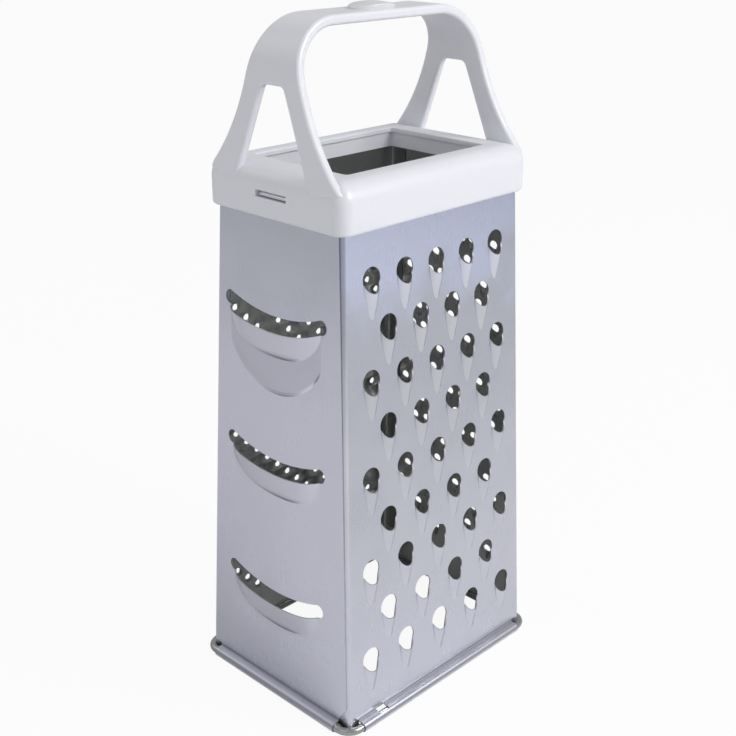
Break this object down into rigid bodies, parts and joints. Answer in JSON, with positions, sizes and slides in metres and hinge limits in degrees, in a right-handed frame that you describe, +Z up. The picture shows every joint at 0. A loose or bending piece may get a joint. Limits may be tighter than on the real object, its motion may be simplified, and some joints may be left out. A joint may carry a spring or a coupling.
{
  "type": "box grater",
  "caption": "A standing box grater of stamped steel panels that lean inwards, with a wire-hemmed foot and a white moulded collar and handle.",
  "frame": {"origin": "centre of the base, at the surface the grater stands on", "axes": "+Z up the grater from foot to handle; +X along the wide panels, towards the narrow face with small teeth; the coarse teeth face -Y, the fine holes +Y and the slicing slots -X"},
  "size_m": [0.1024, 0.081, 0.2401],
  "materials": {
    "steel_wide": "satin",
    "steel_narrow": "satin",
    "wire": "satin",
    "plastic_white": "semi-gloss",
    "plastic_cap": "semi-gloss"
  },
  "bodies": {
    "root": {"coarse_panel": "steel_wide", "fine_panel": "steel_wide", "slicer_panel": "steel_narrow", "small_tooth_panel": "steel_narrow", "base_wire": "wire", "handle_collar": "plastic_white", "handle_cap": "plastic_cap"}
  },
  "joints": []
}
